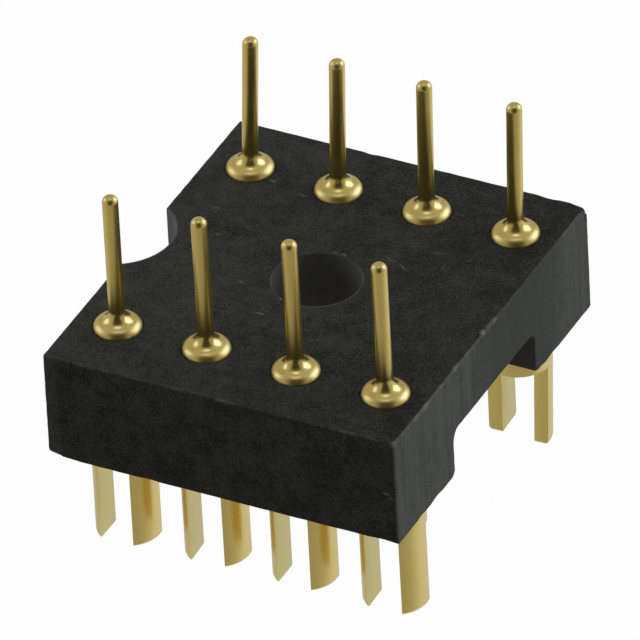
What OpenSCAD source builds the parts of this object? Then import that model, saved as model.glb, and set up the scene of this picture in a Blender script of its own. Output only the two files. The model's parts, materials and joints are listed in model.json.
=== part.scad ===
// Dual-row pin header: a moulded body and two rows of turned, fork-tailed terminals.
// Millimetres, +Z up. It stands on the tips of its fork tails with the round pins up.
// The origin is on the surface it stands on, under the middle of the pin grid.
// X runs along the rows, Y across them, and the notch is in the -X end.

/* [Pin grid] */
// Terminals in each row
pins_per_row = 4; // [2:1:12]
// Distance between neighbouring terminals in a row
pitch = 2.54; // [2:0.01:4]
// Distance between the two rows
row_spacing = 7.62; // [7:0.01:15.24]

/* [Body] */
// From the outermost terminals to the end faces
end_margin = 1.18; // [1:0.01:3]
// From a row to the outer face of its rail
outer_margin = 1.85; // [1.1:0.01:3]
// From a row to the inner wall of its rail
inner_margin = 1.44; // [1:0.01:1.9]
// Height of the rails
rail_h = 3.15; // [2.5:0.05:6]
// Thickness of the bridge between the rails
bridge_t = 1.83; // [1:0.01:2.2]
// Radius where the bridge meets the rails, in the channel
channel_r = 0.3; // [0.1:0.05:0.6]
// Radius along the outer edges of the rails
edge_r = 0.06; // [0.02:0.01:0.3]
// Diameter of the hole through the bridge
hole_d = 2.36; // [1:0.02:3]
// Radius of the notch in the end face
notch_r = 1.54; // [1:0.02:2.2]
// How far the notch reaches into the end face
notch_depth = 0.78; // [0.3:0.01:1]

/* [Terminal] */
// Diameter of the round pin
pin_d = 0.42; // [0.36:0.01:0.6]
// Length of the pin above its collar
pin_l = 3.85; // [2.5:0.05:6]
// Radius at the tip of the pin
pin_tip_r = 0.18; // [0.05:0.01:0.18]
// Radius of the fillet at the foot of the pin
pin_foot_r = 0.2; // [0.05:0.01:0.25]
// Diameter of the barrel and of the collar that it ends in
barrel_d = 1.32; // [1.16:0.02:1.5]
// Height of the collar above the body
collar_h = 0.2; // [0.1:0.01:0.5]
// Radius of the rounded shoulder of the collar
collar_r = 0.28; // [0.06:0.02:0.4]
// Diameter of the head under the rail, and of the fork
head_d = 1.76; // [1.6:0.02:1.9]
// Height of the head
head_h = 0.8; // [0.4:0.05:1.5]
// Length of the tines below the head
tine_l = 2.44; // [1.5:0.01:4]
// Width of the slot between the tines
slot_w = 0.98; // [0.5:0.02:1.1]
// From the axis to the flat side of the tines
flat_offset = 0.12; // [0:0.01:0.3]
// Radius along the outer edge of the tine tips
tine_tip_r = 0.1; // [0.03:0.01:0.2]

/* [Fit] */
// Gap all round the barrel in its hole
barrel_gap = 0.01; // [0.005:0.005:0.05]

/* [Hidden] */
$fn = 96;
overcut = 1;
terminal_count = 2 * pins_per_row;
row_l = (pins_per_row - 1) * pitch;
body_l = row_l + 2 * end_margin;
body_w = row_spacing + 2 * outer_margin;
channel_w = row_spacing - 2 * inner_margin;
channel_h = rail_h - bridge_t;
rail_z = tine_l + head_h;
collar_z = rail_z + rail_h + collar_h;
pin_top_z = collar_z + pin_l;
// Centres of the collar's rounded shoulder, and of the fillet that runs into it or into the flat inside it
fillet_x = pin_d / 2 + pin_foot_r;
shoulder_x = min(barrel_d / 2 - collar_r, fillet_x);
shoulder_z = collar_z - collar_r;
fillet_z = shoulder_z + sqrt(pow(collar_r + pin_foot_r, 2) - pow(fillet_x - shoulder_x, 2));
plastic = "#2d2e2a";
gold = "#b79c54";

function terminal_name(i) = str("terminal_", i);

// Terminals count along the front row from the notch, then back along the other row
function in_front(i) = i <= pins_per_row;
function place_in_row(i) = in_front(i) ? i - 1 : terminal_count - i;
function terminal_at(i) = [
    place_in_row(i) * pitch - row_l / 2,
    (in_front(i) ? -1 : 1) * row_spacing / 2,
    0
];

// Bar with its foot on the X axis and all four corners rounded
module rounded_bar(w, h, r) {
    translate([r - w / 2, 0]) square([w - 2 * r, h]);
    translate([-w / 2, r]) square([w, h - 2 * r]);
    for (side = [-1, 1], y = [r, h - r])
        translate([side * (w / 2 - r), y]) circle(r);
}

// Cross-section of the body, the same along its whole length
module body_section() {
    difference() {
        rounded_bar(body_w, rail_h, edge_r);
        translate([0, -overcut]) rounded_bar(channel_w, channel_h + overcut, channel_r);
    }
}

module body() {
    color(plastic) translate([0, 0, rail_z]) difference() {
        rotate([90, 0, 90]) linear_extrude(height = body_l, center = true) body_section();
        for (i = [1 : terminal_count])
            translate(terminal_at(i) - [0, 0, overcut])
                cylinder(h = rail_h + 2 * overcut, d = barrel_d + 2 * barrel_gap);
        cylinder(h = rail_h + overcut, d = hole_d);
        translate([notch_depth - notch_r - body_l / 2, 0, 0]) cylinder(h = rail_h + overcut, r = notch_r);
    }
}

// What rounding takes off the corner at [r, z]; up is 1 for an upper corner and -1 for a lower one
module corner_waste(r, z, corner_r, up) {
    translate([r - corner_r, z - up * corner_r]) difference() {
        translate([0, up > 0 ? 0 : -overcut]) square(overcut);
        circle(corner_r);
    }
}

// Half-section of the turned blank, before the tail is milled and sawn
module turned_section() {
    difference() {
        square([head_d / 2, rail_z]);
        corner_waste(head_d / 2, 0, tine_tip_r, -1);
    }
    difference() {
        square([barrel_d / 2, collar_z]);
        corner_waste(barrel_d / 2, collar_z, collar_r, 1);
    }
    difference() {
        square([pin_d / 2, pin_top_z]);
        corner_waste(pin_d / 2, pin_top_z, pin_tip_r, 1);
    }
    difference() {
        polygon([[0, shoulder_z], [shoulder_x, shoulder_z], [fillet_x, fillet_z], [0, fillet_z]]);
        translate([fillet_x, fillet_z]) circle(pin_foot_r);
    }
}

// One terminal on the Z axis, with the flat side of its tines facing +Y
module turned_terminal() {
    difference() {
        rotate_extrude() turned_section();
        translate([-head_d, flat_offset, -overcut]) cube([2 * head_d, head_d, tine_l + overcut]);
        translate([-slot_w / 2, -head_d, -overcut]) cube([slot_w, 2 * head_d, tine_l + overcut]);
    }
}

// The flat side of the tines faces the other row
module terminal(i) {
    color(gold) translate(terminal_at(i)) rotate([0, 0, in_front(i) ? 0 : 180]) turned_terminal();
}

body();
for (i = [1 : terminal_count])
    terminal(i);
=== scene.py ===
import json
import math
from functools import reduce

import bpy
import numpy as np
from mathutils import Matrix, Vector, noise


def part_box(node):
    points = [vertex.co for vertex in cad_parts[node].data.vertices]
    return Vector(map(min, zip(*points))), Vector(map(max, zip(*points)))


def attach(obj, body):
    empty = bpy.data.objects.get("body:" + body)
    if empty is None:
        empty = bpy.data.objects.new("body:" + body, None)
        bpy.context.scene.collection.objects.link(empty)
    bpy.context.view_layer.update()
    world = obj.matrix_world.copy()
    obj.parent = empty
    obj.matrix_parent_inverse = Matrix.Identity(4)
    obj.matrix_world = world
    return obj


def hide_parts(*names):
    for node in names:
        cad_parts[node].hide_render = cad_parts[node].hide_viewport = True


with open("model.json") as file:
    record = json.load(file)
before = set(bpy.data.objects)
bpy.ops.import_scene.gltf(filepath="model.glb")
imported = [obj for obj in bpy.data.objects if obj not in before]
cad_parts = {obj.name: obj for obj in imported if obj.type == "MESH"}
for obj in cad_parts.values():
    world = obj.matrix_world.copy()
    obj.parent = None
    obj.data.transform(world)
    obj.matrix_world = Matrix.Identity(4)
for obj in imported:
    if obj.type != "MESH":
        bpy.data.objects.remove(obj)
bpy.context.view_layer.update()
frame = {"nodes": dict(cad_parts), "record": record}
mm = 0.001  # shapes are worked out in millimetres, Blender holds metres
print("frame loaded:", len(frame["nodes"]), "nodes")


# shader maths

class Wire:  # an output socket that adds Math nodes when it is used in an expression
    def __init__(self, graph, socket):
        self.graph = graph
        self.socket = socket

    def math(self, operation, first, second=0.0):
        return self.graph.node("ShaderNodeMath", {"operation": operation}, {0: first, 1: second})

    def __add__(self, other):
        return self.math("ADD", self, other)

    def __sub__(self, other):
        return self.math("SUBTRACT", self, other)

    def __rsub__(self, other):
        return self.math("SUBTRACT", other, self)

    def __mul__(self, other):
        return self.math("MULTIPLY", self, other)

    def __abs__(self):
        return self.math("ABSOLUTE", self)

    __radd__ = __add__
    __rmul__ = __mul__

    def orMore(self, other):
        return self.math("MAXIMUM", self, other)

    def orLess(self, other):
        return self.math("MINIMUM", self, other)

    def ramp(self, low, high):  # 0 at low, 1 at high, smooth between
        return self.graph.node("ShaderNodeMapRange", {"interpolation_type": "SMOOTHSTEP"},
                               {"Value": self, "From Min": low, "From Max": high})

    def pick(self, name):  # another output of the same node
        return Wire(self.graph, self.socket.node.outputs[name])


class Graph:  # a node tree that is built from nothing
    def __init__(self, nodeTree):
        self.nodeTree = nodeTree
        nodeTree.nodes.clear()

    def node(self, kind, settings=None, sockets=None, output=0):
        made = self.nodeTree.nodes.new(kind)
        for name, value in (settings or {}).items():
            setattr(made, name, value)
        for name, value in (sockets or {}).items():
            if isinstance(value, Wire):
                self.nodeTree.links.new(value.socket, made.inputs[name])
            else:
                made.inputs[name].default_value = value
        return Wire(self, made.outputs[output]) if made.outputs else made

    def millimetres(self):  # object coordinates in millimetres
        place = self.node("ShaderNodeTexCoord", output="Object")
        return self.node("ShaderNodeVectorMath", {"operation": "SCALE"}, {0: place, "Scale": 1 / mm})

    def noise(self, place, scale, detail=3.0, roughness=0.55):
        return self.node("ShaderNodeTexNoise", None,
                         {"Vector": place, "Scale": scale, "Detail": detail, "Roughness": roughness})

    def stretched(self, place, factors):
        return self.node("ShaderNodeVectorMath", {"operation": "MULTIPLY"}, {0: place, 1: factors})

    def blend(self, factor, first, second):  # colour mix
        sockets = {"Factor": factor, 6: first, 7: second}
        return self.node("ShaderNodeMix", {"data_type": "RGBA"}, sockets, output=2)

    def along(self, place, direction):  # how far a place lies along a direction
        return self.node("ShaderNodeVectorMath", {"operation": "DOT_PRODUCT"}, {0: place, 1: direction},
                         output="Value")

    def length(self, place):
        return self.node("ShaderNodeVectorMath", {"operation": "LENGTH"}, {0: place}, output="Value")

    def awayFrom(self, place, origin):
        return self.node("ShaderNodeVectorMath", {"operation": "SUBTRACT"}, {0: place, 1: origin})

    def rays(self):  # 1 for what the camera sees, 1 for what metal and glass see
        seen = self.node("ShaderNodeLightPath", output="Is Camera Ray")
        return seen, seen.pick("Is Glossy Ray").orMore(seen.pick("Is Transmission Ray"))


def newMaterial(name):
    material = bpy.data.materials.new(name)
    material.use_nodes = True
    return material, Graph(material.node_tree)


# mesh helpers, all in millimetres

def meshPiece(name, vertices, faces):
    mesh = bpy.data.meshes.new(name)
    mesh.from_pydata([tuple(v) for v in vertices], [], faces)
    piece = bpy.data.objects.new(name, mesh)
    bpy.context.scene.collection.objects.link(piece)
    return piece


def bridgeFaces(low, high):  # quads between two rings of vertex numbers that run the same way round
    count = len(low)
    return [(low[i], low[(i + 1) % count], high[(i + 1) % count], high[i]) for i in range(count)]


def loft(rings):  # closed solid through rings of equally many points, with flat ends
    count = len(rings[0])
    vertices = [p for ring in rings for p in ring]
    numbers = [list(range(k * count, (k + 1) * count)) for k in range(len(rings))]
    faces = [face for low, high in zip(numbers, numbers[1:]) for face in bridgeFaces(low, high)]
    return vertices, faces + [numbers[0][::-1], numbers[-1]]


def lathe(profile, segments, centre=(0, 0)):  # closed solid turned from (radius, height) points
    rings = []
    for radius, height in profile:
        angles = np.linspace(0, 2 * math.pi, segments, endpoint=False)
        rings.append([(centre[0] + radius * math.cos(a), centre[1] + radius * math.sin(a), height)
                      for a in angles])
    return loft(rings)


def arcPoints(centre, radius, start, end, steps):  # angles in degrees
    angles = np.radians(np.linspace(start, end, steps + 1))
    return [(centre[0] + radius * math.cos(a), centre[1] + radius * math.sin(a)) for a in angles]


def joined(name, solids):  # several closed solids as one piece
    vertices, faces = [], []
    for solidVertices, solidFaces in solids:
        start = len(vertices)
        vertices += solidVertices
        faces += [[start + i for i in face] for face in solidFaces]
    return meshPiece(name, vertices, faces)


def applied(piece):  # the piece with its modifiers turned into plain mesh
    graph = bpy.context.evaluated_depsgraph_get()
    old = piece.data
    piece.data = bpy.data.meshes.new_from_object(piece.evaluated_get(graph))
    piece.modifiers.clear()
    bpy.data.meshes.remove(old)
    return piece


def combined(piece, other, operation):
    step = piece.modifiers.new(operation.lower(), "BOOLEAN")
    step.operation = operation
    step.solver = "EXACT"
    step.object = other
    applied(piece)
    spare = other.data
    bpy.data.objects.remove(other)
    bpy.data.meshes.remove(spare)
    return piece


def softened(piece, width, segments=3, angle=30):
    step = piece.modifiers.new("softened", "BEVEL")
    step.width = width
    step.segments = segments
    step.limit_method = "ANGLE"
    step.angle_limit = math.radians(angle)
    return applied(piece)


def smoothShaded(piece, angle=30):
    piece.data.shade_smooth()
    piece.data.set_sharp_from_angle(angle=math.radians(angle))
    for face in piece.data.polygons:
        if face.loop_total > 12:  # large flats
            face.use_smooth = False
    return piece


def inMetres(piece):
    piece.data.transform(Matrix.Scale(mm, 4))
    return piece


def mount(name):
    return next(m for m in frame["record"]["mounts"] if m["name"] == name)


# moulded body

bodyShape = {
    "offset": (-0.01, -0.05),  # how the moulding sits on the pin grid
    "channelWidth": 4.74,  # between the rails
    "channelHeight": 1.32,
    "channelRadius": 0.3,  # where the bridge meets the rails
    "railRadius": 0.06,  # along the outer edges of the rails
    "innerRadius": 0.2,  # along the inner edges of the rails
    "barrelHole": 0.67,  # radius of the holes that the terminals sit in
    "holeOffset": (-0.02, -0.01),  # of the centre hole
    "notchRadius": 1.54,
    "notchDepth": 0.78,
    "rimRadius": 0.025,  # along the rims of the hole and the notch
    "stationStep": 0.08,  # mesh step along the body
    "flatStep": 0.11,  # mesh step across it
    "arcSteps": 8,
}
bodyLow, bodyHigh = (corner / mm + Vector((*bodyShape["offset"], 0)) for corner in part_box("body"))
holeMiddle = tuple(bodyShape["holeOffset"])
holeRadius = mount("centre_hole")["dims"]["r_mm"]
notchMiddle = (bodyLow.x + bodyShape["notchDepth"] - bodyShape["notchRadius"], 0)

bodyWear = {
    "roughness": 0.02,  # how much the edges wander
    "grain": 2.6,  # of that wander, in cycles a millimetre
    "endRadius": 0.04,  # round the end faces
    "sawnTop": [(-5.6, 0.04), (-2.6, 0.05), (-0.6, 0.09), (5.6, 0.09)],  # radius along the sawn end's top
    # chips: place along the edge, half length, depth
    "topFront": [(-3.4, 0.3, 0.05), (0.6, 0.25, 0.06), (1.5, 0.3, 0.05), (4.7, 0.3, 0.09)],
    "topBack": [(3.9, 0.3, 0.05), (-1.2, 0.2, 0.04), (4.85, 0.3, 0.12)],
    "bottomFront": [(4.5, 0.35, 0.04), (-2.1, 0.3, 0.03), (-5.0, 0.4, 0.14), (-5.0, 0.9, 0.07)],
    "bottomBack": [(-3.0, 0.3, 0.05), (2.2, 0.2, 0.04)],
    "sawnTopChips": [(-3.75, 0.2, 0.07), (-2.9, 0.16, 0.06), (-2.05, 0.2, 0.06), (-0.1, 0.45, 0.1),
                     (1.8, 0.2, 0.05), (3.6, 0.25, 0.06), (5.5, 0.25, 0.14)],
    "sawnFootChips": [(-4.4, 0.25, 0.03), (-3.5, 0.3, 0.05), (2.5, 0.35, 0.05), (3.3, 0.3, 0.03)],
    "sawnFrontChips": [(-1.5, 0.25, 0.09), (-0.5, 0.3, 0.03)],  # by height from the top
}


def chipDepth(chips, place):
    return sum(depth * max(0.0, 1 - ((place - middle) / half) ** 2) for middle, half, depth in chips)


def wander(seed, place):  # smooth noise about 0
    return bodyWear["roughness"] * noise.noise(Vector((seed * 7.3, place * bodyWear["grain"], 0.5)))


def cornerArc(before, corner, after, radius):  # round a square corner from one side to the next
    arriving = (corner - before) / np.linalg.norm(corner - before)
    leaving = (after - corner) / np.linalg.norm(after - corner)
    centre = corner + radius * (leaving - arriving)
    turns = np.linspace(0, math.pi / 2, bodyShape["arcSteps"] + 1)
    return [centre + radius * (arriving * math.sin(t) - leaving * math.cos(t)) for t in turns]


def flatPoints(start, end, count):  # points on a flat, with one close to each end to keep it looking flat
    length = np.linalg.norm(end - start)
    close = min(0.03 / length, 0.2)
    shares = [close, *np.linspace(0, 1, count + 2)[1:-1], 1 - close]
    return [start + (end - start) * t for t in shares]


def bodyCorners(inset=0.0):  # (y, z) corners of the body's section, from the front rail's foot
    front, back = bodyLow.y + inset, bodyHigh.y - inset
    foot, top = bodyLow.z + inset, bodyHigh.z - inset
    wall, middle = bodyShape["channelWidth"] / 2 + inset, bodyShape["offset"][1]
    roof = bodyLow.z + bodyShape["channelHeight"] + inset
    near, far = middle - wall, middle + wall
    return [np.array(c) for c in ((front, foot), (near, foot), (near, roof), (far, roof), (far, foot),
                                  (back, foot), (back, top), (front, top))]


def bodyOutline(radii, inset=0.0):  # points of the body's section, the same number at any inset
    corners, full = bodyCorners(inset), bodyCorners()
    inner, fillet = bodyShape["innerRadius"] - inset * 0.8, bodyShape["channelRadius"] + inset
    outer = {name: max(radius - inset, 0.02) for name, radius in radii.items()}
    rounds = [outer["bottomFront"], inner, fillet, fillet, inner, outer["bottomBack"], outer["topBack"],
              outer["topFront"]]
    arcs = [cornerArc(corners[i - 1], corners[i], corners[(i + 1) % 8], rounds[i]) for i in range(8)]
    points = []
    for i, arc in enumerate(arcs):
        count = int(np.linalg.norm(full[(i + 1) % 8] - full[i]) / bodyShape["flatStep"])
        points += arc + flatPoints(arc[-1], arcs[(i + 1) % 8][0], count)
    return np.array(points)


def cornerRoom(points):  # how far each point can move in before a rounded corner folds over
    turning = np.cross(np.roll(points, -1, 0) - points, points - np.roll(points, 1, 0))
    convex = points[turning < -1e-7]
    nearest = np.array([np.linalg.norm(convex - p, axis=1).min() for p in points])
    return 0.8 * (bodyShape["innerRadius"] + nearest)


def edgeRadii(x):
    edges = ("topFront", "topBack", "bottomFront", "bottomBack")
    return {edge: max(bodyShape["railRadius"] + wander(i, x) + chipDepth(bodyWear[edge], x), 0.03)
            for i, edge in enumerate(edges)}


def endRadius(point, sawn):  # rounding of the end face at a point of its outline
    y, z = point
    reach = 0.2  # how far from an edge its chips count
    radius = bodyWear["endRadius"] + wander(8 + 3 * sawn, y * 1.3 + z * 2.1)
    if sawn and z > bodyHigh.z - reach:
        radius = np.interp(y, *zip(*bodyWear["sawnTop"])) + 1.5 * wander(12, y * 1.7)
        radius += chipDepth(bodyWear["sawnTopChips"], y)
    elif sawn and z < bodyLow.z + reach:
        radius += chipDepth(bodyWear["sawnFootChips"], y)
    elif sawn and y < bodyLow.y + reach:
        radius += chipDepth(bodyWear["sawnFrontChips"], z - bodyHigh.z)
    return max(radius, 0.025)


def endRings(end, sawn):  # rings that round the end face over, from the side to the face
    deep = 0.05
    radii = edgeRadii(end)
    outline, inner = bodyOutline(radii), bodyOutline(radii, deep)
    inward = (inner - outline) / deep
    rounding = np.minimum([endRadius(p, sawn) for p in outline], cornerRoom(outline))
    rings = []
    for turn in np.linspace(0, math.pi / 2, bodyShape["arcSteps"] + 1):
        x = end - math.copysign(1, end) * rounding * (1 - math.sin(turn))
        section = outline + inward * (rounding * (1 - math.cos(turn)))[:, None]
        rings.append([(a, *b) for a, b in zip(x, section)])
    return rings


def rimCutter(centre, radius, foot, top):  # a round hole with softened rims, reaching past both faces
    rim = bodyShape["rimRadius"]
    past = 0.4
    upper = arcPoints((radius + rim, top - rim), rim, 180, 90, 6)
    lower = arcPoints((radius + rim, foot + rim), rim, 270, 180, 6)
    profile = [(radius + rim, foot - past), *lower, *upper, (radius + rim, top + past)]
    return lathe(profile, 128, centre)


def mouldedBody():
    reach = 0.32  # the end rounding stays within this
    stations = np.arange(bodyLow.x + reach, bodyHigh.x - reach, bodyShape["stationStep"])
    rings = endRings(bodyLow.x, False)[::-1]
    rings += [[(x, *p) for p in bodyOutline(edgeRadii(x))] for x in stations]
    rings += endRings(bodyHigh.x, True)
    body = meshPiece("mouldedBody", *loft(rings))
    roof = bodyLow.z + bodyShape["channelHeight"]
    cuts = [rimCutter(holeMiddle, holeRadius, roof, bodyHigh.z),
            rimCutter(notchMiddle, bodyShape["notchRadius"], roof, bodyHigh.z)]
    for name, place in terminalPlaces.items():
        profile = [(bodyShape["barrelHole"], bodyLow.z - 1), (bodyShape["barrelHole"], bodyHigh.z + 1)]
        straight, faces = lathe(profile, 64, place)
        leaning = [Vector(v) + tiltedBy(name, v[2]) for v in straight]  # as its terminal does
        cuts.append((leaning, faces))
    return smoothShaded(combined(body, joined("bodyCuts", cuts), "DIFFERENCE"))


# turned terminals

terminalNames = sorted(n for n in frame["nodes"] if n != "body")
terminalBoxes = {n: [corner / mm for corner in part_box(n)] for n in terminalNames}
terminalPlaces = {n: ((low.x + high.x) / 2, mount(n.replace("terminal", "pin"))["pos_m"][1] / mm)
                  for n, (low, high) in terminalBoxes.items()}

terminalShape = {
    "pinRadius": mount("pin_1")["dims"]["r_mm"],
    "tipRadius": 0.18,  # at the tip of the pin
    "footRadius": 0.38,  # fillet at the foot of the pin
    "barrelRadius": 0.66,
    "collarHeight": 0.2,
    "collarRadius": 0.28,  # of the collar's domed shoulder
    "headRadius": 0.88,
    "headHeight": 0.8,
    "headEdge": 0.03,
    "slotWidth": 0.955,
    "flatOffset": 0.12,  # from the axis to the flat side of the tines
    "tineTip": 0.1,  # radius along the outer edge of the tips
    "edge": 0.026,  # softening of the sawn and milled edges
    "forkOverlap": 0.3,  # how far the fork runs up into the head
    "segments": 72,
}
collarTop = bodyHigh.z + terminalShape["collarHeight"]
headFoot = bodyLow.z - terminalShape["headHeight"]

# how each terminal sits, as the camera sees it. In degrees: the bend of its pin and the tilt of all of it,
# both to the right, and its turn on its axis. In millimetres, for the left and the right tine: how far the
# tips lean together, and how much shorter they are
terminalSet = {
    "terminal_1": {"tilt": -0.1, "turn": -1.0},
    "terminal_2": {"tilt": -0.3, "turn": 3.0, "shorter": (0.03, 0.05)},
    "terminal_3": {"tilt": -0.1, "shorter": (0.04, 0.04)},
    "terminal_4": {"bend": 0.1, "tilt": -0.3, "turn": 1.8},
    "terminal_5": {"bend": 0.65, "tilt": 0.85, "turn": 2.0, "lean": (0.03, 0.045),
                   "shorter": (0.075, -0.01)},
    "terminal_6": {"bend": 0.6, "tilt": 0.6},
    "terminal_7": {"bend": 1.9},
    "terminal_8": {"bend": 2.7},
}


def turnedProfile(pinTop):  # from the underside of the head to the tip of the pin
    shape = terminalShape
    headTop = bodyLow.z
    head, edge, barrel = shape["headRadius"], shape["headEdge"], shape["barrelRadius"]
    rim, foot, pin, tip = (shape[k] for k in ("collarRadius", "footRadius", "pinRadius", "tipRadius"))
    near = 0.02  # close rows keep the straight parts looking straight
    axis = 0.0001  # as good as on the axis
    profile = [(axis, headFoot), (0.3, headFoot)]
    profile += arcPoints((head - edge, headFoot + edge), edge, 270, 360, 4)
    profile += arcPoints((head - edge, headTop - edge), edge, 0, 90, 4)
    profile += [(barrel + near, headTop), (barrel, headTop), (barrel, headTop + near)]
    profile += [(barrel, collarTop - rim - near)]
    # the shoulder's arc and the fillet's arc meet without a kink
    shoulder, fillet = barrel - rim, pin + foot
    overlap = max(fillet - shoulder, 0.0)
    rise = math.sqrt((rim + foot) ** 2 - overlap ** 2)
    slope = math.degrees(math.atan2(overlap, rise))
    footTop = collarTop - rim + rise
    profile += arcPoints((shoulder, collarTop - rim), rim, 0, 90 - slope, 14)
    profile += arcPoints((fillet, footTop), foot, 270 - slope, 180, 12)[1:]
    profile += [(pin, footTop + near), (pin, pinTop - tip - near)]
    profile += arcPoints((pin - tip, pinTop - tip), tip, 0, 90, 12)
    return profile + [(pin - tip - near, pinTop), (axis, pinTop)]


def tine(side, top):  # one half of the fork, from its tip up into the head
    shape = terminalShape
    wall, flat, tip = shape["slotWidth"] / 2, shape["flatOffset"], shape["tineTip"]
    rounded = tip * (1 - np.cos(np.linspace(0, math.pi / 2, 7)))
    rings = []
    for height in [*rounded, *np.linspace(3 * tip, top, 8)]:
        drop = max(tip - height, 0.0)
        radius = shape["headRadius"] - tip + math.sqrt(tip ** 2 - drop ** 2)
        sweep = np.linspace(-math.acos(wall / radius), math.asin(flat / radius), 18)
        ring = [(radius * math.cos(a), radius * math.sin(a), height) for a in sweep]
        ring.append((wall, flat, height))
        rings.append(ring if side > 0 else [(-x, y, z) for x, y, z in ring[::-1]])
    return loft(rings)


def turnedTerminal():  # one terminal on the Z axis, with the flat side of its tines facing +Y
    pinTop = terminalBoxes["terminal_1"][1].z
    terminal = meshPiece("turnedTerminal", *lathe(turnedProfile(pinTop), terminalShape["segments"]))
    fork = joined("fork", [tine(side, headFoot + terminalShape["forkOverlap"]) for side in (-1, 1)])
    softened(fork, terminalShape["edge"])
    return smoothShaded(combined(terminal, fork, "UNION"), 28)


def slant(name, kind):  # sideways run for each millimetre of height
    return math.tan(math.radians(terminalSet.get(name, {}).get(kind, 0.0)))


def tiltedBy(name, height):  # how far a terminal's tilt takes it to the right at a height
    return viewAxes()[3] * slant(name, "tilt") * (height - collarTop)


def setTerminal(name, pattern):
    own = terminalSet.get(name, {})
    lean, shorter = (own.get(kind, (0, 0)) for kind in ("lean", "shorter"))
    x, y = terminalPlaces[name]
    turn = math.radians(own.get("turn", 0.0)) + (0 if y < 0 else math.pi)
    bend = viewAxes()[3] * slant(name, "bend")
    mesh = pattern.data.copy()
    for vertex in mesh.vertices:
        side = 0 if (vertex.co.x < 0) == (y < 0) else 1  # left or right tine
        down = max(1 - vertex.co.z / headFoot, 0.0)
        vertex.co.x -= math.copysign(lean[side] * down, vertex.co.x)
        vertex.co.z += shorter[side] * down
    mesh.transform(Matrix.Rotation(turn, 4, "Z"))
    for vertex in mesh.vertices:
        height = vertex.co.z
        vertex.co += tiltedBy(name, height) + bend * max(height - collarTop, 0.0)
    piece = bpy.data.objects.new("turned_" + name, mesh)
    bpy.context.scene.collection.objects.link(piece)
    piece.location = (x * mm, y * mm, 0)
    return inMetres(piece)


# camera

photoView = {
    "azimuth": 27.953,
    "elevation": 35.543,
    "roll": -2.986,
    "distance": 447.7,
    "sensor": 36.0,
    "lens": 983.4,
    "aim": (0.069, -1.042),  # picture's middle from the middle of the top face, to the right and up
}


def facing(azimuth, elevation):  # to the right, and from the object to a viewer there
    turn, rise = math.radians(azimuth), math.radians(elevation)
    back = Vector((math.sin(turn) * math.cos(rise), -math.cos(turn) * math.cos(rise), math.sin(rise)))
    return Vector((math.cos(turn), math.sin(turn), 0)), back


def viewAxes():  # the picture's right, up and back, and its right before the roll
    level, back = facing(photoView["azimuth"], photoView["elevation"])
    roll = math.radians(photoView["roll"])
    upright = back.cross(level)
    right = level * math.cos(roll) + upright * math.sin(roll)
    return right, back.cross(right), back, level


def photoCamera():
    right, up, back = viewAxes()[:3]
    data = bpy.data.cameras.new("photoCamera")
    data.sensor_width = photoView["sensor"]
    data.lens = photoView["lens"]
    data.clip_start, data.clip_end = 0.01, 20
    camera = bpy.data.objects.new("photoCamera", data)
    aim = Vector((0, 0, bodyHigh.z)) + right * photoView["aim"][0] + up * photoView["aim"][1]
    camera.matrix_world = Matrix.Translation((aim + back * photoView["distance"]) * mm) @ Matrix(
        (right, up, back)).transposed().to_4x4()
    bpy.context.scene.collection.objects.link(camera)
    bpy.context.scene.camera = camera


# finishes

goldLook = {
    "warm": (0.84, 0.63, 0.178, 1),
    "pale": (0.87, 0.675, 0.21, 1),
    "slot": (0.72, 0.585, 0.168, 1),  # walls that the saw left, painted a little darker for the shaded floor they reflect
    "fork": (0.87, 0.667, 0.204, 1),
    "pinRoughness": 0.26,
    "shoulderRoughness": 0.35,  # of the collar
    "shaftRoughness": 0.34,  # of the pin above its foot
    "forkRoughness": 0.29,
    "ringMarks": 28.0,  # turning marks in a millimetre
    "markDepth": 0.0001,  # millimetres
}


def goldPlate():
    material, g = newMaterial("goldPlate")
    place = g.millimetres()
    height = g.node("ShaderNodeSeparateXYZ", None, {0: place}, output="Z")
    radius = g.length(g.stretched(place, (1, 1, 0)))
    cloud = g.noise(place, 1.4, 3)
    grain = g.noise(place, 38, 2)
    marks = g.node("ShaderNodeTexNoise", {"noise_dimensions": "1D"},
                   {"W": (height + radius) * goldLook["ringMarks"], "Scale": 1.0, "Detail": 2.0})
    fork = 1 - height.ramp(headFoot - 0.1, headFoot + 0.1)
    normal = g.node("ShaderNodeTexCoord", output="Normal")
    sideways = abs(g.along(normal, (1, 0, 0))).ramp(0.9, 0.97)
    midTine = 0.66  # between the slot's wall and the round side
    slot = fork * sideways * (1 - abs(g.along(place, (1, 0, 0))).ramp(midTine - 0.02, midTine + 0.02))
    colour = g.blend(cloud.ramp(0.35, 0.7), goldLook["warm"], goldLook["pale"])
    colour = g.blend(fork * 0.9, colour, goldLook["fork"])
    # the slot's walls take the darker colour: painted shade in their reflection
    colour = g.blend(slot, colour, goldLook["slot"])
    shaft = height.ramp(bodyHigh.z + 0.45, bodyHigh.z + 1.0)
    shoulder = height.ramp(bodyHigh.z - 0.1, bodyHigh.z) * radius.ramp(0.43, 0.52)
    rough = goldLook["pinRoughness"] + fork * (goldLook["forkRoughness"] - goldLook["pinRoughness"])
    rough = rough + shaft * (goldLook["shaftRoughness"] - goldLook["pinRoughness"])
    rough = rough + shoulder * (goldLook["shoulderRoughness"] - goldLook["pinRoughness"])
    rough = rough + (cloud - 0.5) * 0.08 + (grain - 0.5) * 0.06
    bump = g.node("ShaderNodeBump", None, {"Strength": 1.0, "Distance": goldLook["markDepth"] * mm,
                                           "Height": marks * (1 - fork) + grain * 0.4})
    shader = g.node("ShaderNodeBsdfPrincipled", None,
                    {"Base Color": colour, "Metallic": 1.0, "Roughness": rough, "Normal": bump})
    g.node("ShaderNodeOutputMaterial", None, {"Surface": shader})
    return material


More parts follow.
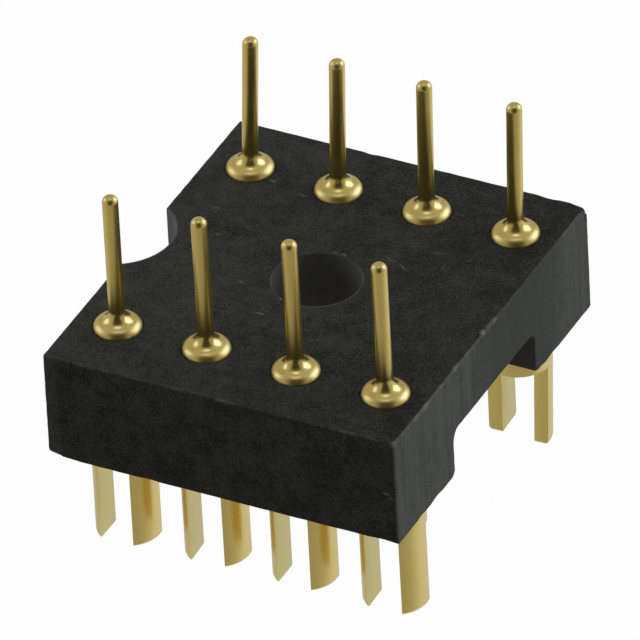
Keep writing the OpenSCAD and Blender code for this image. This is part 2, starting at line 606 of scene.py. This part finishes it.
plasticLook = {
    "dark": (0.0098, 0.0099, 0.0074, 1),
    "light": (0.0415, 0.0422, 0.034, 1),
    "wall": (0.082, 0.083, 0.07, 1),  # of the hole, paler: painted light in the recess
    "notch": (0.11, 0.113, 0.099, 1),  # and of the notch, paler still: painted light of the left softbox on its wall
    "channel": 0.62,  # how far the channel goes to the hole's tone, as painted light under its roof
    # the pale of wear, of the pale marks and of the painted edge highlights
    "worn": (0.17, 0.175, 0.16, 1),
    "sawn": (0.086, 0.0902, 0.0735, 1),
    "sawnDark": (0.0475, 0.0503, 0.04, 1),
    "roughness": 0.62,
    "gloss": 0.05,
    "grainDepth": 0.006,  # millimetres
    # edges worn pale and carrying a painted highlight where they catch the light: width of the pale line,
    # its level, and what is added to that in patches
    "rubbed": {
        "front": (0.1, 0.06, 0.16),
        "left": (0.14, 0.1, 0.05),
        "sawn": (0.08, 0.15, 0.15),
        "hole": (0.05, 0.35, 0.0),
        "notch": (0.05, 0.25, 0.3),
        "others": (0.06, 0.1, 0.0),
    },
    # pale marks: place (height from the top face), half sizes, strength
    "marks": [
        # along the sawn end's top edge
        ((4.92, -0.42, -0.03), (0.08, 0.16, 0.08), 0.9),
        ((4.95, 0.18, -0.03), (0.06, 0.22, 0.08), 0.6),
        ((4.93, -0.1, -0.03), (0.07, 0.45, 0.08), 0.45),
        ((4.94, -2.05, -0.03), (0.06, 0.25, 0.08), 0.55),
        ((4.96, -2.9, -0.03), (0.06, 0.2, 0.06), 0.5),
        ((4.98, -3.85, -0.04), (0.07, 0.25, 0.1), 0.7),
        ((4.98, -4.45, -0.03), (0.06, 0.22, 0.08), 0.6),
        ((4.98, -4.15, -0.03), (0.06, 0.5, 0.08), 0.35),
        # at its front corner
        ((4.93, -5.66, -0.04), (0.12, 0.12, 0.1), 0.7),
        # on the front, beside the sawn end
        ((4.68, -5.71, -1.63), (0.1, 0.06, 0.05), 0.45),
        ((4.81, -5.71, -1.74), (0.07, 0.06, 0.04), 0.3),
        # on the top face
        ((-1.76, -0.86, 0), (0.08, 0.06, 0.05), 0.4),
        ((-3.23, 0.8, 0), (0.1, 0.06, 0.05), 0.3),
        ((-2.68, 1.39, 0), (0.09, 0.07, 0.05), 0.2),
        ((-3.8, 1.84, 0), (0.1, 0.08, 0.05), 0.2),
        ((-0.72, -1.92, 0), (0.2, 0.05, 0.05), 0.45),
        ((-0.5, -1.08, 0), (0.07, 0.07, 0.06), 0.9),
        ((0.15, 1.24, 0), (0.08, 0.05, 0.06), 0.45),
        ((-0.08, 1.24, 0), (0.06, 0.05, 0.06), 0.3),
        ((-2.98, 3.48, 0), (0.12, 0.05, 0.05), 0.5),
        ((-2.0, 3.2, 0), (0.16, 0.05, 0.05), 0.35),
        ((2.2, 3.98, 0), (0.06, 0.05, 0.05), 0.35),
    ],
    # hair scratches on the top face: from, to, strength
    "scratches": [
        ((1.1, 1.62), (1.6, 1.46), 0.25),
        ((1.6, 1.46), (2.02, 1.2), 0.35),
        ((2.1, 2.2), (2.6, 2.33), 0.2),
        ((-2.3, -2.4), (-1.5, -2.15), 0.15),
        ((0.6, -3.0), (1.3, -2.2), 0.12),
    ],
}


class BodySkin:  # places and noises over the body, which its finish is made of
    def __init__(self, g):
        self.g = g
        self.place = g.millimetres()
        self.x = g.node("ShaderNodeSeparateXYZ", None, {0: self.place}, output="X")
        self.y = self.x.pick("Y")
        height = self.x.pick("Z")
        self.cloud = g.noise(self.place, 0.6, 4)
        self.mottle = g.noise(self.place, 2.4, 4, 0.6)
        self.grain = g.noise(self.place, 13.0, 3, 0.65)
        self.fine = g.noise(self.place, 30.0, 2, 0.6)
        self.flecks = g.noise(self.place, 6.0, 4, 0.7).ramp(0.35, 0.65)
        self.wobble = (self.mottle - 0.5) * 0.1 + (self.grain - 0.5) * 0.06
        # distances to the outer faces, and to the walls of the hole and the notch
        self.under, self.above = bodyHigh.z - height, height - bodyLow.z
        self.toFront, self.toSawn = self.y - bodyLow.y, bodyHigh.x - self.x
        self.toHole = self.fromAxis(holeMiddle) - holeRadius
        self.toNotch = self.fromAxis(notchMiddle) - bodyShape["notchRadius"]

    def fromAxis(self, centre):
        return self.g.length(self.g.stretched(self.g.awayFrom(self.place, (*centre, 0)), (1, 1, 0)))


# pale lines along the edges: partly wear, partly painted highlight where rounded edges catch the light
def litAndWornEdges(skin):
    x, y, under = skin.x, skin.y, skin.under
    patchy = skin.g.noise(skin.g.stretched(skin.place, (1.0, 0.3, 1.0)), 1.6, 3, 0.6).ramp(0.42, 0.62)

    def litAndWornEdge(name, distance, more=0.0):
        width, level, patches = plasticLook["rubbed"][name]
        return (1 - (distance + skin.wobble).ramp(0.0, width)) * (level + patchy * (patches + more))

    def fromRim(distance):  # of an opening in the top face
        return abs(distance - 0.02).orMore(under)

    toSide = skin.toFront.orLess(bodyHigh.y - y)
    byLeft = 1 - (x - bodyLow.x + skin.wobble).ramp(0.28, 0.44)
    byBack = y.ramp(-0.6, 1.2)
    holeRight = (x - y * 0.6).ramp(0.0, 1.2)
    edges = [
        litAndWornEdge("front", under.orMore(skin.toFront), x.ramp(-4.8, 1.0) * 0.2),
        # a paler strip on the front by the left end: painted light on its rounded corner
        litAndWornEdge("left", skin.toFront) * byLeft,
        litAndWornEdge("sawn", under.orMore(skin.toSawn)) * (1 - byBack * (0.22 / 0.3)),
        # the hole's rim on its right side and the notch's rim: painted highlights where they catch the
        # light
        litAndWornEdge("hole", fromRim(skin.toHole)) * holeRight,
        litAndWornEdge("notch", fromRim(skin.toNotch)),
        litAndWornEdge("others", under.orLess(skin.above).orMore(toSide)),
    ]
    return reduce(Wire.orMore, edges) * (skin.flecks * 0.6 + 0.5)


def paleMark(skin, spot, halfSizes, strength):
    g = skin.g
    centre = (spot[0], spot[1], bodyHigh.z + spot[2])
    away = g.length(g.stretched(g.awayFrom(skin.place, centre), [1 / half for half in halfSizes]))
    ragged = away + (skin.grain - 0.5) * 1.6 + (skin.flecks - 0.5) * 0.4
    return (1 - ragged.ramp(0.0, 1.3)) * strength


def hairScratch(skin, start, end, strength):
    fade = 0.15  # at both ends
    run = Vector(end) - Vector(start)
    way = run.normalized()
    offset = skin.g.awayFrom(skin.place, (*start, 0))
    ahead = skin.g.along(offset, (*way, 0))
    aside = abs(skin.g.along(offset, (-way.y, way.x, 0)) + (skin.mottle - 0.5) * 0.25)
    inside = ahead.ramp(0.0, fade) * (1 - ahead.ramp(run.length - fade, run.length))
    return inside * (1 - aside.orMore(skin.under).ramp(0.008, 0.03)) * strength


def mouldedColour(skin):
    front = 1 - skin.toFront.ramp(0.03, 0.08)
    top = 1 - skin.under.ramp(0.05, 0.3)
    grain = skin.grain + (skin.fine - skin.grain) * front * 0.5  # finer on the front
    tone = skin.cloud * 0.3 + skin.mottle * 0.35 + grain * 0.8 + skin.fine * 0.85
    tone = tone - skin.x * top * 0.011  # the top face darkens to the right
    return skin.g.blend(tone.ramp(0.9, 1.4), plasticLook["dark"], plasticLook["light"])


def withPaintedLightInOpenings(skin, colour):  # the walls of the hole, the channel and the notch are painted paler, as light reaching into them
    def within(distance):
        return 1 - distance.ramp(0.006, 0.016)

    toWall = abs(skin.y - bodyShape["offset"][1]) - bodyShape["channelWidth"] / 2
    toRoof = skin.above - bodyShape["channelHeight"]
    channel = within(toWall.orMore(toRoof)) * plasticLook["channel"]
    colour = skin.g.blend(within(skin.toHole).orMore(channel), colour, plasticLook["wall"])
    return skin.g.blend(within(skin.toNotch), colour, plasticLook["notch"])


def sawnColour(skin, streaks):
    darkPlace = 1 - abs(skin.y - 1.4).ramp(0.8, 3.2)
    tone = streaks * 0.8 + skin.mottle * 0.4 + skin.grain * 0.6 + skin.fine * 0.9 - darkPlace * 0.36
    return skin.g.blend(tone.ramp(1.0, 1.6), plasticLook["sawnDark"], plasticLook["sawn"])


def mouldedPlastic():
    material, g = newMaterial("mouldedPlastic")
    skin = BodySkin(g)
    # wear and painted edge highlights, then the real pale marks and hair scratches
    worn = litAndWornEdges(skin)
    for mark in plasticLook["marks"]:
        worn = worn.orMore(paleMark(skin, *mark))
    for scratch in plasticLook["scratches"]:
        worn = worn.orMore(hairScratch(skin, *scratch))
    haze = g.noise(skin.place, 1.1, 5, 0.7).ramp(0.5, 0.75)
    sawn = skin.x.ramp(bodyHigh.x - 0.07, bodyHigh.x - 0.03)
    streaks = g.noise(g.stretched(skin.place, (0, 4.5, 0.25)), 1.0, 4, 0.6)  # left by the saw
    colour = withPaintedLightInOpenings(skin, mouldedColour(skin))
    colour = g.blend(sawn, colour, sawnColour(skin, streaks))
    colour = g.blend(worn.orMore(haze * 0.05), colour, plasticLook["worn"])
    rough = plasticLook["roughness"] + (skin.cloud - 0.5) * 0.2 + (skin.grain - 0.5) * 0.15
    bump = g.node("ShaderNodeBump", None, {"Strength": 1.0, "Distance": plasticLook["grainDepth"] * mm,
                                           "Height": skin.grain + sawn * streaks * 0.5})
    shader = g.node("ShaderNodeBsdfPrincipled", None,
                    {"Base Color": colour, "Roughness": rough, "Normal": bump,
                     "Specular IOR Level": plasticLook["gloss"]})
    g.node("ShaderNodeOutputMaterial", None, {"Surface": shader})
    return material


# floor, light and backdrop

studio = {
    "floorColour": (0.56, 0.56, 0.56, 1),
    "floorShown": 0.98,  # share of plain white that the camera sees in the floor
    "floorGlow": 0.12,  # and that it sends up as a light table does
    "floorSize": 3.0,  # metres
    "roomShown": 1.0,  # the white room's level for the camera
    "roomLight": 0.2,  # what it sends to matt surfaces
    # what metal sees of it: above, below on the camera's side, and what is added below at the sides
    "mirrorAbove": 0.42,
    "mirrorFront": 0.378,
    "mirrorSide": 0.212,
    "mirrorLean": 0.085,  # more on the right than on the left
    "mirrorCool": (1, 1.17, 1.9, 1),  # tint of its bright parts
    # panels that metal alone sees: placed and sized as the softboxes below, level
    "mirrorDark": (0, 25, 0.62, 0.9, 1.16, 0.045),  # dark side behind the camera
    "mirrorTop": (0, 84, 0.5, 0.16, 0.12, 1.5),  # small light over the camera
    "mirrorDarkSoft": 0.18,  # softness of the dark side's edge
    # softboxes: azimuth from the camera and elevation in degrees, distance, width and height in metres,
    # brightness, level in metal
    "softboxes": {
        "rightBox": (108, 26, 0.34, 0.30, 0.24, 3.0, 1.6),
        "leftBox": (-108, 26, 0.34, 0.22, 0.20, 2.6, 1.15),
        "topBox": (180, 84, 0.5, 0.36, 0.36, 2.5, 0.42),
    },
}


def aroundObject(azimuth, elevation, distance):  # a place and the axes that face the object from it
    level, back = facing(photoView["azimuth"] + azimuth, elevation)
    axes = Matrix((level, back.cross(level), back)).transposed().to_4x4()
    return Matrix.Translation(Vector((0, 0, bodyHigh.z * mm)) + back * distance) @ axes


def softbox(name, azimuth, elevation, distance, width, height, brightness):
    data = bpy.data.lights.new(name, "AREA")
    data.shape = "RECTANGLE"
    data.size, data.size_y = width, height
    data.energy = brightness * width * height * math.pi
    lamp = bpy.data.objects.new(name, data)
    lamp.matrix_world = aroundObject(azimuth, elevation, distance)
    lamp.visible_glossy = False  # metal sees it in the room instead, at its own level
    bpy.context.scene.collection.objects.link(lamp)


def stagePanel(name, width, height, placing, material):
    corners = [(-width / 2, -height / 2, 0), (width / 2, -height / 2, 0), (width / 2, height / 2, 0),
               (-width / 2, height / 2, 0)]
    panel = meshPiece(name, corners, [(0, 1, 2, 3)])
    panel.matrix_world = placing
    panel.data.materials.append(material)
    return panel


def whiteFloor():
    material, g = newMaterial("whiteFloor")
    seen, mirrored = g.rays()
    matt = g.node("ShaderNodeBsdfDiffuse", None, {"Color": studio["floorColour"]})
    glow = g.node("ShaderNodeEmission", None, {"Color": (1, 1, 1, 1), "Strength": 1.0})
    clear = g.node("ShaderNodeBsdfTransparent")
    share = seen * (studio["floorShown"] - studio["floorGlow"]) + studio["floorGlow"]
    floor = g.node("ShaderNodeMixShader", None, {0: share, 1: matt, 2: glow})
    # metal looks through to the room below, as if the floor were a lit glass table
    g.node("ShaderNodeOutputMaterial", None,
           {"Surface": g.node("ShaderNodeMixShader", None, {0: mirrored, 1: floor, 2: clear})})
    return material


def lightStudio():
    stagePanel("floor", studio["floorSize"], studio["floorSize"], Matrix.Identity(4), whiteFloor())
    for name, values in studio["softboxes"].items():
        softbox(name, *values[:6])
    whiteRoom()


def whiteRoom():
    world = bpy.data.worlds.new("whiteRoom")
    world.use_nodes = True
    g = Graph(world.node_tree)
    seen, mirrored = g.rays()
    ray = g.node("ShaderNodeTexCoord", output="Generated")

    def panel(azimuth, elevation, distance, width, height, soft=0.05):  # 1 where a ray meets it
        axes = aroundObject(azimuth, elevation, distance).col[:3]
        aside, rise, ahead = (g.along(ray, axis.xyz) for axis in axes)
        across = ahead * (width / 2 / distance) - abs(aside)
        return across.orLess(ahead * (height / 2 / distance) - abs(rise)).ramp(-soft, soft)

    level = g.node("ShaderNodeVectorMath", {"operation": "NORMALIZE"}, {0: g.stretched(ray, (1, 1, 0))})
    right, front = (g.along(level, way) for way in facing(photoView["azimuth"], 0))
    sides = studio["mirrorSide"] + right * studio["mirrorLean"]
    below = studio["mirrorFront"] + (1 - front.ramp(-0.2, 0.95)) * sides
    upward = g.along(ray, (0, 0, 1)).ramp(-0.1, 0.1)
    mirror = below + upward * (studio["mirrorAbove"] - below)
    *darkPlace, darkLevel = studio["mirrorDark"]
    mirror = mirror + panel(*darkPlace, soft=studio["mirrorDarkSoft"]) * (darkLevel - mirror)
    for values in studio["softboxes"].values():
        mirror = mirror.orMore(panel(*values[:5]) * values[6])
    *topPlace, topLevel = studio["mirrorTop"]
    mirror = mirror.orMore(panel(*topPlace) * topLevel)
    bright = mirrored * mirror.ramp(studio["mirrorFront"], 1.1)
    colour = g.blend(bright, (1, 1, 1, 1), studio["mirrorCool"])
    others = 1 - seen - mirrored
    strength = seen * studio["roomShown"] + mirrored * mirror + others * studio["roomLight"]
    room = g.node("ShaderNodeBackground", None, {"Color": colour, "Strength": strength})
    g.node("ShaderNodeOutputWorld", None, {"Surface": room})
    bpy.context.scene.world = world


# assembly

photoCamera()
lightStudio()
print("camera and studio set")

plastic = mouldedPlastic()
gold = goldPlate()
print("finishes made")

body = inMetres(mouldedBody())
body.data.materials.clear()
body.data.materials.append(plastic)
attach(body, "root")
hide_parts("body")
print("body made:", len(body.data.polygons), "faces")

pattern = turnedTerminal()
pattern.data.materials.clear()
pattern.data.materials.append(gold)
for name in terminalNames:
    terminal = setTerminal(name, pattern)
    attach(terminal, "root")
    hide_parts(name)
print("terminals made:", len(terminalNames), "of", len(pattern.data.polygons), "faces each")
bpy.data.objects.remove(pattern)

bpy.context.scene.view_settings.view_transform = "Standard"
